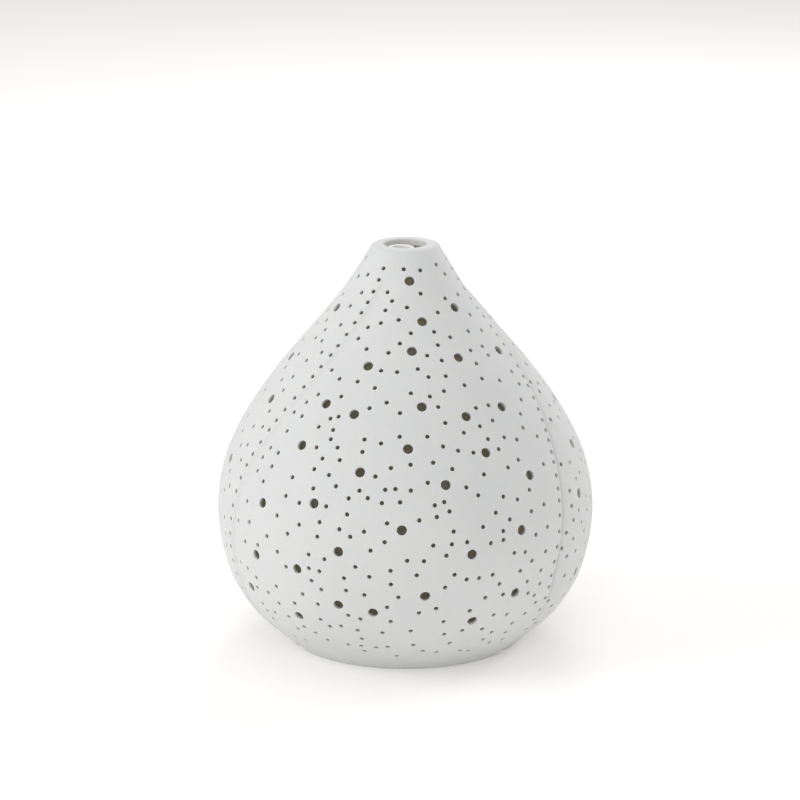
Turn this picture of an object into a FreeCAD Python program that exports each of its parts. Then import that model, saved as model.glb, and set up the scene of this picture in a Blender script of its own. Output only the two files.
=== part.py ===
import FreeCAD, Part

import math
import os
import random

# Ultrasonic aroma diffuser: a pierced ceramic cover that rests on the table over a slim engine.
# Millimetres. Origin on the table under the mouth of the cover, +Z up, front towards -Y, and the
# service side, with the inlet and the buttons, towards +Y. Azimuth is in degrees from the front,
# positive towards +X.

V = FreeCAD.Vector
UP = V(0, 0, 1)
BACK = V(0, 1, 0)

# ---- driving dimensions: ceramic cover -----------------------------------------------------
COVER_HEIGHT = 150.0
# outline of the cover as (height, radius), foot to crest
COVER_OUTLINE = [
    (0, 43.2), (4.5, 48.3), (12, 56.5), (22.5, 63.8), (36, 68.4), (51, 70.0), (67.5, 67.5),
    (85.5, 59.4), (103.5, 47.0), (120, 33.3), (133.5, 22.5), (144, 15.7), (150, 12.0),
]
COVER_WALL = 2.6
MOUTH_RADIUS = 7.95
MOUTH_DEPTH = 2.9           # straight part of the mouth, below it the wall flares out
LIP_ROUNDING = 2.4
MOUTH_ROUNDING = 0.35
# inside of the neck as (radius, height), where the wall thickens into the lip
NECK_INSIDE = [(14.9, 140.0), (12.0, 144.6), (8.6, 146.6)]

# three petals overlap round the body; each crease is a soft valley beside a raised petal edge
PETALS = 3
PETAL_ANGLE = 360.0 / PETALS
FIRST_CREASE = 60.0
CREASE_DEPTH = 1.3
CREASE_RISE = 9.0           # width of the gentle side of a valley
CREASE_FALL = 1.8           # width of its steep side, under the neighbouring petal's edge
TWIST_START = 60.0          # height at which the creases begin to lean round
TWIST_SPAN = 88.0
TWIST_ANGLE = 45.0
TWIST_POWER = 1.6
FOOT_LEAN = 3.2             # degrees by which the creases lean back again towards the foot
FOOT_LEAN_TOP = 66.0
FOOT_LEAN_SPAN = 30.0
RELIEF_FADE = (134.0, 146.0)

# pierced openings
STAR_RADIUS = 1.8
STAR_GAP = 17.0             # least distance between two of them on the hidden side
STAR_CLOSE_GAP = 12.0       # the same once the widely spaced ones are placed
STAR_WIDE_COUNT = 45
STAR_CREASE_GAP = 5.0
STAR_NOTCH_GAP = 6.0
STAR_SEED = 194
STAR_COUNT = 100
HIDDEN_SIDE = (101.0, 279.0)
HIDDEN_HEIGHTS = (20.0, 134.0)
SAMPLED_HEIGHTS = (1, 150)      # whole heights at which the widest girth is looked for
# openings of the front, as (azimuth, height)
FRONT_STARS = [
    (8, 140), (49, 130), (-67, 128), (16, 127), (7, 118), (34, 115), (66, 114), (-17, 113),
    (-78, 109), (10, 101), (-32, 100), (-18, 98), (46, 98), (28, 97), (-66, 96), (91, 92),
    (4, 88), (-36, 86), (32, 85), (-12, 80), (79, 78), (16, 76), (47, 75), (-75, 72), (-26, 68),
    (-46, 64), (71, 62), (2, 61), (40, 57), (-17, 52), (23, 51), (-48, 44), (-31, 43), (9, 36),
    (39, 33), (-18, 31), (73, 31), (-7, 29), (-55, 29), (25, 24), (-34, 23),
]

# arch at the foot of the cover's back, for the plug and the fingers
NOTCH_WIDTH = 36.0
NOTCH_HEIGHT = 20.0
NOTCH_ROUNDING = 10.0
NOTCH_START = 30.0              # the arch is cut from here backwards, clear of the engine's side
NOTCH_REACH = 50.0

# ---- driving dimensions: engine ------------------------------------------------------------
ENGINE_OFFSET = V(-1.6, 0, 0)   # the cover stands loose round the engine, not quite concentric
ENGINE_RADIUS = 37.0
HOUSING_WALL = 2.0
HOUSING_INNER = ENGINE_RADIUS - HOUSING_WALL
HOUSING_BOTTOM = 4.0
HOUSING_TOP = 44.0
PANEL_Y = 33.0                  # outer face of the flat service panel
PANEL_TOP = 28.0
FLANGE_BOTTOM = 40.0
FLANGE_TOP = 43.0
FLANGE_INNER = 28.0
POST_PLACE = 21.5               # the four posts stand at plus and minus this, in x and in y
POST_RADIUS = 3.2

FOOT_RADIUS = 5.0
FOOT_HEIGHT = 2.0
FOOT_CIRCLE = 27.5
BASE_BOTTOM = 1.5
BASE_LIP_HEIGHT = 1.8

TANK_TOP = 80.0
TANK_INNER = 34.0
TANK_SKIRT_INNER = 32.0
FLOOR_BOTTOM = 48.0
FLOOR_TOP = 50.5
TANK_BOSS_CIRCLE = 30.5
SPOUT_PLACE = V(-11, 4, 0)
SPOUT_OUTER = 6.0
SPOUT_INNER = 4.5
SPOUT_BOTTOM = 42.0
SPOUT_TOP = 77.0
FILL_LINE = 71.0

DISC_PLACE = V(11, -4, 0)       # axis of the piezo disc
DISC_RADIUS = 10.0
DISC_BOTTOM = 46.4
DISC_TOP = 47.6
WET_HOLE = 8.0
CLAMP_CIRCLE = 13.2
CLAMP_ANGLES = (80, 200, 320)
CLAMP_BOTTOM = 43.8
CLAMP_TOP = 45.8

LID_RIM = 37.0
LID_WALL = 1.6
LID_SKIRT_OUTER = 33.6
LID_TOP = 100.0
COLLAR_OUTER = 7.0
COLLAR_INNER = 5.6
COLLAR_TOP = 109.0
CHIMNEY_OUTER = 4.9
CHIMNEY_INNER = 3.7
CHIMNEY_TOP = 148.5

FAN_SIZE = 25.0
FAN_BOTTOM = 27.0
FAN_TOP = 34.0
FAN_BORE = 11.4
FAN_HOLE_PLACE = 10.2
ROTOR_RADIUS = 10.8
HUB_RADIUS = 5.0
SHAFT_RADIUS = 0.75
SHAFT_CLEARANCE = 0.05
BLADES = 7
BLADE_TILT = 38.0

BOARD_BOTTOM = 5.9
BOARD_TOP = 7.5
BOARD_HALF = (17.0, 27.0)
BOARD_SCREWS = [(-14, -24), (14, -24), (-14, 18), (14, 18)]

ROW_HEIGHT = 12.0               # height of the inlet's and the buttons' axes
BUTTON_SPACING = 11.0
BUTTON_RADIUS = 3.2
BUTTON_HOLE = 3.5
BUTTON_FLANGE = 4.3
BUTTON_FRONT = 34.2
BUTTON_BACK = 29.7
INLET_BORE = 2.75
INLET_PIN = 1.05
INLET_DEPTH = 9.0


# ---- helpers -------------------------------------------------------------------------------
def ring(outer, inner, low, high, place=V(0, 0, 0)):
    """A flat ring about a vertical axis."""
    body = Part.makeCylinder(outer, high - low, place + V(0, 0, low))
    return body.cut(Part.makeCylinder(inner, high - low + 2, place + V(0, 0, low - 1)))


def rod(radius, low, high, place=V(0, 0, 0)):
    """A vertical cylinder."""
    return Part.makeCylinder(radius, high - low, place + V(0, 0, low))


def block(x0, x1, y0, y1, z0, z1):
    """A box between two corners."""
    return Part.makeBox(x1 - x0, y1 - y0, z1 - z0, V(x0, y0, z0))


def turned(*runs):
    """Solid of revolution about Z. Each run is a list of (radius, height) points: two give a
    straight line, more give a smooth curve. The runs follow one another and close up."""
    edges = []
    for number, run in enumerate(runs):
        nodes = [V(r, 0, z) for r, z in run]
        if len(nodes) == 2:
            edges.append(Part.makeLine(nodes[0], nodes[1]))
        else:
            curve = Part.BSplineCurve()
            curve.interpolate(nodes)
            edges.append(curve.toShape())
        following = runs[(number + 1) % len(runs)][0]
        start = V(following[0], 0, following[1])
        if nodes[-1].distanceToPoint(start) > 1e-6:
            edges.append(Part.makeLine(nodes[-1], start))
    return Part.Face(Part.Wire(edges)).revolve(V(0, 0, 0), UP, 360)


def joined(*shapes):
    """One solid from overlapping or touching shapes."""
    return shapes[0].fuse(list(shapes[1:])).removeSplitter()


def group(shapes):
    """Separate solids that share one node."""
    return Part.makeCompound(shapes)


def screw(place, seat, tip, head, shank, head_height=1.6):
    """An upward screw: its head hangs below the seat and its shank ends at the tip. The head has
    a cross recess."""
    cap = Part.makeCone(head * 0.8, head, head_height * 0.35, place + UP * (seat - head_height))
    cap = cap.fuse(rod(head, seat - head_height * 0.65, seat, place))
    slot = block(-head * 0.6, head * 0.6, -0.25, 0.25, -0.1, 0.8)
    cross = slot.fuse(slot.rotated(V(0, 0, 0), UP, 90))
    cross.translate(place + UP * (seat - head_height))
    return cap.fuse(rod(shank, seat - 0.1, tip, place)).removeSplitter().cut(cross)


def bent_tube(radius, points, bend):
    """A round wire along straight runs joined by tangent arcs."""
    edges = []
    start = points[0]
    for before, corner, after in zip(points, points[1:], points[2:]):
        inward = (before - corner).normalize()
        outward = (after - corner).normalize()
        half = math.acos(max(-1, min(1, inward.dot(outward)))) / 2
        reach = bend / math.tan(half)
        first = corner + inward * reach
        last = corner + outward * reach
        centre = corner + (inward + outward).normalize() * (bend / math.sin(half))
        middle = centre + (corner - centre).normalize() * bend
        edges.append(Part.makeLine(start, first))
        edges.append(Part.Arc(first, middle, last).toShape())
        start = last
    edges.append(Part.makeLine(start, points[-1]))
    path = Part.Wire(edges)
    disc = Part.Wire(Part.makeCircle(radius, points[0], points[1] - points[0]))
    return path.makePipeShell([disc], True, False)


def save(name, shape, place=ENGINE_OFFSET):
    """Write one node. Engine pieces are drawn about the engine's own axis and set in place here."""
    shape = shape.copy()
    shape.translate(place)
    shape.exportStep(os.path.join("parts", name + ".step"))


# ---- ceramic cover -------------------------------------------------------------------------
def smooth(t):
    t = max(0.0, min(1.0, t))
    return t * t * (3 - 2 * t)


def outline_slopes():
    """Slope of the outline at each of its points, from the parabola through its neighbours."""
    z = [point[0] for point in COVER_OUTLINE]
    r = [point[1] for point in COVER_OUTLINE]
    chords = [(r[i + 1] - r[i]) / (z[i + 1] - z[i]) for i in range(len(z) - 1)]
    slopes = [chords[0] + (chords[0] - chords[1]) * 0.35]
    for i in range(1, len(chords)):
        before, after = z[i] - z[i - 1], z[i + 1] - z[i]
        slopes.append((chords[i - 1] * after + chords[i] * before) / (before + after))
    return slopes + [chords[-1]]


OUTLINE_SLOPES = outline_slopes()


def cover_radius(height):
    """Mean outer radius of the cover and its slope, by cubic pieces between outline points."""
    i = 0
    while i < len(COVER_OUTLINE) - 2 and COVER_OUTLINE[i + 1][0] < height:
        i += 1
    (z0, r0), (z1, r1) = COVER_OUTLINE[i], COVER_OUTLINE[i + 1]
    m0, m1 = OUTLINE_SLOPES[i], OUTLINE_SLOPES[i + 1]
    h = z1 - z0
    t = (height - z0) / h
    radius = (r0 * (1 + 2 * t) * (1 - t) ** 2 + m0 * h * t * (1 - t) ** 2
              + r1 * t * t * (3 - 2 * t) + m1 * h * t * t * (t - 1))
    slope = ((r1 - r0) * 6 * t * (1 - t) / h + m0 * (1 - t) * (1 - 3 * t) + m1 * t * (3 * t - 2))
    return radius, slope


def twist(height):
    """Degrees that the creases have leant round at a height."""
    lean = TWIST_ANGLE * (max(0.0, height - TWIST_START) / TWIST_SPAN) ** TWIST_POWER
    return lean - FOOT_LEAN * smooth((FOOT_LEAN_TOP - height) / FOOT_LEAN_SPAN)


def petal_relief(height, past):
    """How far the surface stands off the mean radius, past degrees beyond a crease."""
    radius = cover_radius(height)[0]
    fade_start, fade_end = RELIEF_FADE
    depth = CREASE_DEPTH * (1 - smooth((height - fade_start) / (fade_end - fade_start)))
    gentle = smooth(1 - math.radians(past) * radius / CREASE_RISE)
    steep = smooth(1 - math.radians(PETAL_ANGLE - past) * radius / CREASE_FALL)
    return -depth * max(gentle, steep)


def on_cover(azimuth, height, radius):
    angle = math.radians(azimuth)
    return V(radius * math.sin(angle), -radius * math.cos(angle), height)


# stations round one petal, close together beside the crease
PETAL_STATIONS = [0, 0.7, 1.5, 3, 5, 8, 12, 18, 30, 45, 60, 75, 90, 100, 107, 111, 113.5, 115.5,
                  117, 118, 118.6, 119.1, 119.6]


def cover_section(height):
    """Closed outer section of the cover, starting at the crease of the back."""
    radius = cover_radius(height)[0]
    start = FIRST_CREASE + PETAL_ANGLE + twist(height)
    points, stations = [], []
    for petal in range(PETALS):
        for past in PETAL_STATIONS:
            azimuth = start + petal * PETAL_ANGLE + past
            points.append(on_cover(azimuth, height, radius + petal_relief(height, past)))
            stations.append(petal * PETAL_ANGLE + past)
    stations.append(360.0)
    curve = Part.BSplineCurve()
    curve.interpolate(Points=points, PeriodicFlag=True, Parameters=stations)
    return Part.Wire(curve.toShape())


def rounded_top(shape, radius, size):
    """Round the edge of the top face that lies at a given radius."""
    def is_it(edge):
        box = edge.BoundBox
        return (abs(box.ZMin - COVER_HEIGHT) < 0.01 and box.ZLength < 0.01
                and abs(box.XMax - radius) < 0.3)
    return shape.makeFillet(size, [e for e in shape.Edges if is_it(e)])


def hidden_stars():
    """Scattered openings on the side away from the front, evenly spread by area."""
    draw = random.Random(STAR_SEED)
    placed = []
    low, high = HIDDEN_HEIGHTS
    taken = [on_cover(a, z, cover_radius(z)[0]) for a, z in FRONT_STARS]
    widest = max(cover_radius(z)[0] * math.hypot(1, cover_radius(z)[1]) for z in range(*SAMPLED_HEIGHTS))
    while len(placed) < STAR_COUNT - len(FRONT_STARS):
        azimuth = draw.uniform(*HIDDEN_SIDE)
        height = draw.uniform(low, high)
        chance = draw.random()
        radius, slope = cover_radius(height)
        if chance > radius * math.hypot(1, slope) / widest:
            continue
        past = (azimuth - FIRST_CREASE - twist(height)) % PETAL_ANGLE
        if math.radians(min(past, PETAL_ANGLE - past)) * radius < STAR_CREASE_GAP:
            continue
        spot = on_cover(azimuth, height, radius)
        if abs(spot.x) < NOTCH_WIDTH / 2 + STAR_NOTCH_GAP and height < NOTCH_HEIGHT + STAR_NOTCH_GAP:
            continue
        gap = STAR_GAP if len(placed) < STAR_WIDE_COUNT else STAR_CLOSE_GAP
        if any(spot.distanceToPoint(other) < gap for other in taken):
            continue
        placed.append((azimuth, height))
        taken.append(spot)
    return placed


def star_cutter(azimuth, height):
    """Cylinder square to the wall."""
    radius, slope = cover_radius(height)
    outward = on_cover(azimuth, 0, 1) - UP * slope
    outward.normalize()
    inside = COVER_WALL + 3
    outside = 3
    start = on_cover(azimuth, height, radius) - outward * inside
    return Part.makeCylinder(STAR_RADIUS, inside + outside, start, outward)


def notch_cutter():
    """Arched tunnel through the foot of the back."""
    half, top, bend = NOTCH_WIDTH / 2, NOTCH_HEIGHT, NOTCH_ROUNDING
    corner = bend * (1 - math.sqrt(0.5))

    def at(x, z):
        return V(x, NOTCH_START, z)

    edges = [
        Part.makeLine(at(-half, -1), at(-half, top - bend)),
        Part.Arc(at(-half, top - bend), at(-half + corner, top - corner), at(-half + bend, top)).toShape(),
        Part.makeLine(at(-half + bend, top), at(half - bend, top)),
        Part.Arc(at(half - bend, top), at(half - corner, top - corner), at(half, top - bend)).toShape(),
        Part.makeLine(at(half, top - bend), at(half, -1)),
        Part.makeLine(at(half, -1), at(-half, -1)),
    ]
    return Part.Face(Part.Wire(edges)).extrude(BACK * NOTCH_REACH)


def ceramic_cover():
    heights = []
    for (low, _), (high, _) in zip(COVER_OUTLINE, COVER_OUTLINE[1:]):
        heights += [low, (low + high) / 2]
    heights.append(COVER_HEIGHT)
    outside = Part.makeLoft([cover_section(z) for z in heights], True, False)
    outside = rounded_top(outside, COVER_OUTLINE[-1][1], LIP_ROUNDING)

    inner = []
    for height, _ in COVER_OUTLINE[:-2]:
        radius, slope = cover_radius(height)
        inner.append((radius - COVER_WALL * math.hypot(1, slope), height))
    foot_inner = inner[0][0]
    throat = COVER_HEIGHT - MOUTH_DEPTH
    inner += NECK_INSIDE
    hollow = turned([(0, -1), (foot_inner, -1)], [(foot_inner, -1), (foot_inner, 0)], inner,
                    [(MOUTH_RADIUS, throat), (MOUTH_RADIUS, COVER_HEIGHT + 1)],
                    [(MOUTH_RADIUS, COVER_HEIGHT + 1), (0, COVER_HEIGHT + 1)])
    shell = outside.cut(hollow)
    shell = rounded_top(shell, MOUTH_RADIUS, MOUTH_ROUNDING)
    cutters = [star_cutter(a, z) for a, z in FRONT_STARS + hidden_stars()]
    return shell.cut(cutters + [notch_cutter()])


# ---- lid over the tank, with the chimney that brings the mist to the mouth --------------------
def inner_cover():
    """Domed lid that drops into the tank, with a collar for the chimney."""
    rim, wall, skirt = LID_RIM, LID_WALL, LID_SKIRT_OUTER
    outside = [(rim, TANK_TOP + 2), (rim - 3.5, TANK_TOP + 7), (rim - 12, TANK_TOP + 14.5),
               (15.5, LID_TOP - 1.2), (COLLAR_OUTER + 1.5, LID_TOP)]
    inside = [(COLLAR_INNER + 1.5, LID_TOP - wall), (14.8, LID_TOP - 1.2 - wall),
              (rim - 13, TANK_TOP + 13), (rim - 5, TANK_TOP + 6), (skirt - wall, TANK_TOP + 1)]
    return turned(
        [(rim, TANK_TOP), (rim, TANK_TOP + 2)], outside,
        [(COLLAR_OUTER, LID_TOP), (COLLAR_OUTER, COLLAR_TOP)],
        [(COLLAR_OUTER, COLLAR_TOP), (COLLAR_INNER, COLLAR_TOP)],
        [(COLLAR_INNER, COLLAR_TOP), (COLLAR_INNER, LID_TOP - wall)], inside,
        [(skirt - wall, TANK_TOP + 1), (skirt - wall, TANK_TOP - 4)],
        [(skirt - wall, TANK_TOP - 4), (skirt, TANK_TOP - 4)],
        [(skirt, TANK_TOP - 4), (skirt, TANK_TOP)])


def mist_chimney():
    """Tube pushed over the lid's collar, ending just inside the mouth of the cover."""
    fit = COLLAR_OUTER + 0.05
    socket = fit + 1.3
    shoulder = COLLAR_TOP + 1
    tube = turned(
        [(fit, LID_TOP + 2), (socket, LID_TOP + 2)],
        [(socket, LID_TOP + 2), (socket, shoulder)],
        [(socket, shoulder), (CHIMNEY_OUTER, shoulder + 9)],
        [(CHIMNEY_OUTER, shoulder + 9), (CHIMNEY_OUTER, CHIMNEY_TOP)],
        [(CHIMNEY_OUTER, CHIMNEY_TOP), (CHIMNEY_INNER, CHIMNEY_TOP)],
        [(CHIMNEY_INNER, CHIMNEY_TOP), (CHIMNEY_INNER, shoulder + 8)],
        [(CHIMNEY_INNER, shoulder + 8), (COLLAR_INNER, COLLAR_TOP)],
        [(COLLAR_INNER, COLLAR_TOP), (fit, COLLAR_TOP)])
    top = [e for e in tube.Edges if abs(e.BoundBox.ZMin - CHIMNEY_TOP) < 0.01
           and abs(e.BoundBox.ZMax - CHIMNEY_TOP) < 0.01]
    return tube.makeFillet(0.4, top)


# ---- water tank and mist maker ---------------------------------------------------------------
def around(radius, angle, centre=V(0, 0, 0)):
    """A point on a horizontal circle."""
    turn = math.radians(angle)
    return centre + V(radius * math.cos(turn), radius * math.sin(turn), 0)


TANK_SCREW_PLACES = [around(TANK_BOSS_CIRCLE, 90 * k) for k in range(4)]
CLAMP_PLACES = [around(CLAMP_CIRCLE, angle, DISC_PLACE) for angle in CLAMP_ANGLES]
POST_PLACES = [V(x, y, 0) for x in (-POST_PLACE, POST_PLACE) for y in (-POST_PLACE, POST_PLACE)]
FOOT_PLACES = [around(FOOT_CIRCLE, 90 * k) for k in range(4)]


def tank():
    """Open basin with the air spout standing in it, and a skirt that stands on the housing."""
    wall = ring(ENGINE_RADIUS, TANK_SKIRT_INNER, HOUSING_TOP, FLOOR_BOTTOM)
    wall = wall.fuse([
        rod(ENGINE_RADIUS, FLOOR_BOTTOM, FLOOR_TOP),
        ring(ENGINE_RADIUS, TANK_INNER, FLOOR_TOP, TANK_TOP),
        ring(TANK_INNER + 0.2, TANK_INNER - 0.5, FILL_LINE, FILL_LINE + 0.6),
        rod(SPOUT_OUTER, SPOUT_BOTTOM, SPOUT_TOP, SPOUT_PLACE),
        ring(WET_HOLE + 2, WET_HOLE, FLOOR_TOP, FLOOR_TOP + 1.2, DISC_PLACE),
    ] + [rod(3.0, HOUSING_TOP, FLOOR_BOTTOM, spot) for spot in TANK_SCREW_PLACES]
      + [rod(2.0, CLAMP_TOP, FLOOR_BOTTOM, spot) for spot in CLAMP_PLACES])
    cuts = [rod(SPOUT_INNER, SPOUT_BOTTOM - 1, SPOUT_TOP + 1, SPOUT_PLACE),
            rod(WET_HOLE, FLOOR_BOTTOM - 1, FLOOR_TOP + 2, DISC_PLACE)]
    cuts += [rod(1.1, HOUSING_TOP - 1, FLOOR_TOP - 1.2, spot) for spot in TANK_SCREW_PLACES]
    cuts += [rod(0.8, CLAMP_TOP - 1, FLOOR_TOP - 1, spot) for spot in CLAMP_PLACES]
    return wall.cut(cuts).removeSplitter()


def transducer():
    """Piezo disc with the raised electrode in its middle."""
    return joined(rod(DISC_RADIUS, DISC_BOTTOM, DISC_TOP, DISC_PLACE),
                  rod(3.5, DISC_BOTTOM - 0.3, DISC_BOTTOM, DISC_PLACE))


def transducer_seal():
    """Rubber ring that grips the edge of the disc, from above and below."""
    body = ring(DISC_RADIUS + 1, DISC_RADIUS - 2, CLAMP_TOP, FLOOR_BOTTOM, DISC_PLACE)
    return body.cut(rod(DISC_RADIUS, DISC_BOTTOM, DISC_TOP, DISC_PLACE))


def transducer_clamp():
    """Pressed plate with three ears that holds the seal up against the tank floor."""
    ears = [rod(3.4, CLAMP_BOTTOM, CLAMP_TOP, spot) for spot in CLAMP_PLACES]
    plate = joined(rod(DISC_RADIUS + 1.2, CLAMP_BOTTOM, CLAMP_TOP, DISC_PLACE), *ears)
    holes = [rod(1.1, CLAMP_BOTTOM - 1, CLAMP_TOP + 1, spot) for spot in CLAMP_PLACES]
    return plate.cut(holes + [rod(6.5, CLAMP_BOTTOM - 1, CLAMP_TOP + 1, DISC_PLACE)])


def transducer_screws():
    return group([screw(spot, CLAMP_BOTTOM, FLOOR_TOP - 1.4, 1.9, 0.78, 1.4) for spot in CLAMP_PLACES])


def housing_seal():
    """Gasket between the housing and the tank."""
    return ring(HOUSING_INNER - 0.1, TANK_SKIRT_INNER + 0.6, FLANGE_TOP, HOUSING_TOP)


# ---- housing and base ------------------------------------------------------------------------
def base_housing():
    """Round housing with a flat service panel at the back, a flange for the tank, and posts."""
    inside = rod(HOUSING_INNER, HOUSING_BOTTOM - 1, HOUSING_TOP + 1)
    half = ENGINE_RADIUS + 1
    inside = inside.cut(block(-half, half, PANEL_Y - HOUSING_WALL, half, 0, PANEL_TOP - HOUSING_WALL))
    body = rod(ENGINE_RADIUS, HOUSING_BOTTOM, HOUSING_TOP)
    body = body.cut(block(-half, half, PANEL_Y, half, 0, PANEL_TOP)).cut(inside)
    body = body.fuse([ring(HOUSING_INNER + 0.5, FLANGE_INNER, FLANGE_BOTTOM, FLANGE_TOP)]
                     + [rod(POST_RADIUS, HOUSING_BOTTOM, FLANGE_BOTTOM, spot) for spot in POST_PLACES])
    cuts = [rod(1.1, HOUSING_BOTTOM - 1, HOUSING_BOTTOM + 11, spot) for spot in POST_PLACES]
    cuts += [rod(1.7, FLANGE_BOTTOM - 1, FLANGE_TOP + 1, spot) for spot in TANK_SCREW_PLACES]
    row = V(0, PANEL_Y - HOUSING_WALL - 1, ROW_HEIGHT)
    cuts += [Part.makeCylinder(BUTTON_HOLE, HOUSING_WALL + 2, row + V(side * BUTTON_SPACING, 0, 0), BACK)
             for side in (-1, 1)]
    cuts.append(Part.makeCylinder(BUTTON_HOLE, HOUSING_WALL + 2, row, BACK))
    return body.cut(cuts).removeSplitter()


def tank_screws():
    return group([screw(spot, FLANGE_BOTTOM, FLOOR_TOP - 1.6, 2.7, 1.08) for spot in TANK_SCREW_PLACES])


def bottom_cover():
    """Base plate with a locating lip, seats for the feet, air slots and board posts."""
    half = ENGINE_RADIUS + 1
    flat = block(-half, half, PANEL_Y, half, 0, HOUSING_BOTTOM + 5)
    plate = rod(ENGINE_RADIUS, BASE_BOTTOM, HOUSING_BOTTOM).cut(flat)
    lip = ring(HOUSING_INNER - 0.3, HOUSING_INNER - 1.5, HOUSING_BOTTOM, HOUSING_BOTTOM + BASE_LIP_HEIGHT)
    gaps = [rod(POST_RADIUS + 0.3, HOUSING_BOTTOM, HOUSING_BOTTOM + 5, spot) for spot in POST_PLACES]
    gaps.append(block(-half, half, PANEL_Y - HOUSING_WALL - 0.3, half, 0, HOUSING_BOTTOM + 5))
    lip = lip.cut(gaps)
    board_posts = [rod(2.4, HOUSING_BOTTOM, BOARD_BOTTOM, V(x, y, 0)) for x, y in BOARD_SCREWS]
    plate = plate.fuse([lip] + board_posts)
    cuts = [rod(FOOT_RADIUS + 0.1, 0, FOOT_HEIGHT, spot) for spot in FOOT_PLACES]
    cuts += [rod(1.6, 0, HOUSING_BOTTOM + 3, spot) for spot in POST_PLACES]
    cuts += [rod(POST_RADIUS - 0.1, 0, BASE_BOTTOM + 1.6, spot) for spot in POST_PLACES]
    cuts += [rod(0.8, BASE_BOTTOM + 1, BOARD_BOTTOM + 1, V(x, y, 0)) for x, y in BOARD_SCREWS]
    slots = 6
    for k in range(slots):
        x = SPOUT_PLACE.x + (k - (slots - 1) / 2) * 3.6
        cuts.append(block(x - 0.8, x + 0.8, -10, 12, 0, HOUSING_BOTTOM + 1))
    return plate.cut(cuts).removeSplitter()


def base_screws():
    seat = BASE_BOTTOM + 1.6
    return group([screw(spot, seat, HOUSING_BOTTOM + 10, 2.8, 1.08, 1.5) for spot in POST_PLACES])


def rubber_feet():
    """Soft pads, domed at the edge, glued into the seats of the base plate."""
    edge = 0.6
    radius, height = FOOT_RADIUS, FOOT_HEIGHT
    pad = turned([(0, 0), (radius - edge, 0)], [(radius - edge, 0), (radius, edge)],
                 [(radius, edge), (radius, height)], [(radius, height), (0, height)])
    pads = []
    for spot in FOOT_PLACES:
        copy = pad.copy()
        copy.translate(spot)
        pads.append(copy)
    return group(pads)


# ---- fan and air duct ------------------------------------------------------------------------
FAN_CORNERS = [SPOUT_PLACE + V(x, y, 0) for x, y in ((-FAN_HOLE_PLACE, -FAN_HOLE_PLACE),
                                                     (FAN_HOLE_PLACE, FAN_HOLE_PLACE))]


def fan_frame():
    """Square frame with a round bore. Three struts carry the motor seat and the bearing tube."""
    half, cx, cy = FAN_SIZE / 2, SPOUT_PLACE.x, SPOUT_PLACE.y
    frame = block(cx - half, cx + half, cy - half, cy + half, FAN_BOTTOM, FAN_TOP)
    frame = frame.makeFillet(1.8, [e for e in frame.Edges if e.BoundBox.ZLength > 1])
    frame = frame.cut(rod(FAN_BORE, FAN_BOTTOM - 1, FAN_TOP + 1, SPOUT_PLACE))
    seat = rod(HUB_RADIUS - 0.2, FAN_BOTTOM, FAN_BOTTOM + 1, SPOUT_PLACE)
    struts = []
    for k in range(3):
        strut = block(0, FAN_BORE + 0.4, -0.7, 0.7, FAN_BOTTOM, FAN_BOTTOM + 1)
        strut.rotate(V(0, 0, 0), UP, 120 * k + 20)
        strut.translate(SPOUT_PLACE)
        struts.append(strut)
    tube = rod(1.9, FAN_BOTTOM, FAN_TOP - 2.4, SPOUT_PLACE)
    frame = frame.fuse([seat, tube] + struts)
    bearing = SHAFT_RADIUS + SHAFT_CLEARANCE
    cuts = [rod(bearing, FAN_BOTTOM + 0.6, FAN_TOP, SPOUT_PLACE)]
    for x in (-FAN_HOLE_PLACE, FAN_HOLE_PLACE):
        for y in (-FAN_HOLE_PLACE, FAN_HOLE_PLACE):
            cuts.append(rod(1.25, FAN_BOTTOM - 1, FAN_TOP + 1, SPOUT_PLACE + V(x, y, 0)))
    return frame.cut(cuts).removeSplitter()


def fan_rotor():
    """Cup-shaped hub on a thin shaft, with tilted blades."""
    low, high = FAN_BOTTOM + 1.5, FAN_TOP - 0.8
    hub = rod(HUB_RADIUS, low, high, SPOUT_PLACE)
    hub = hub.cut(rod(HUB_RADIUS - 0.9, low - 1, high - 0.9, SPOUT_PLACE))
    shaft = rod(SHAFT_RADIUS, FAN_BOTTOM + 0.9, high - 0.5, SPOUT_PLACE)
    sweep = ring(ROTOR_RADIUS, HUB_RADIUS - 0.5, low, high - 0.2, SPOUT_PLACE)
    blades = []
    for k in range(BLADES):
        blade = block(0, ROTOR_RADIUS + 1, -3.3, 3.3, -0.35, 0.35)
        blade.rotate(V(0, 0, 0), V(1, 0, 0), BLADE_TILT)
        blade.rotate(V(0, 0, 0), UP, 360.0 * k / BLADES)
        blade.translate(SPOUT_PLACE + UP * (low + high) / 2)
        blades.append(blade.common(sweep))
    return hub.fuse([shaft] + blades).removeSplitter()


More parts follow.
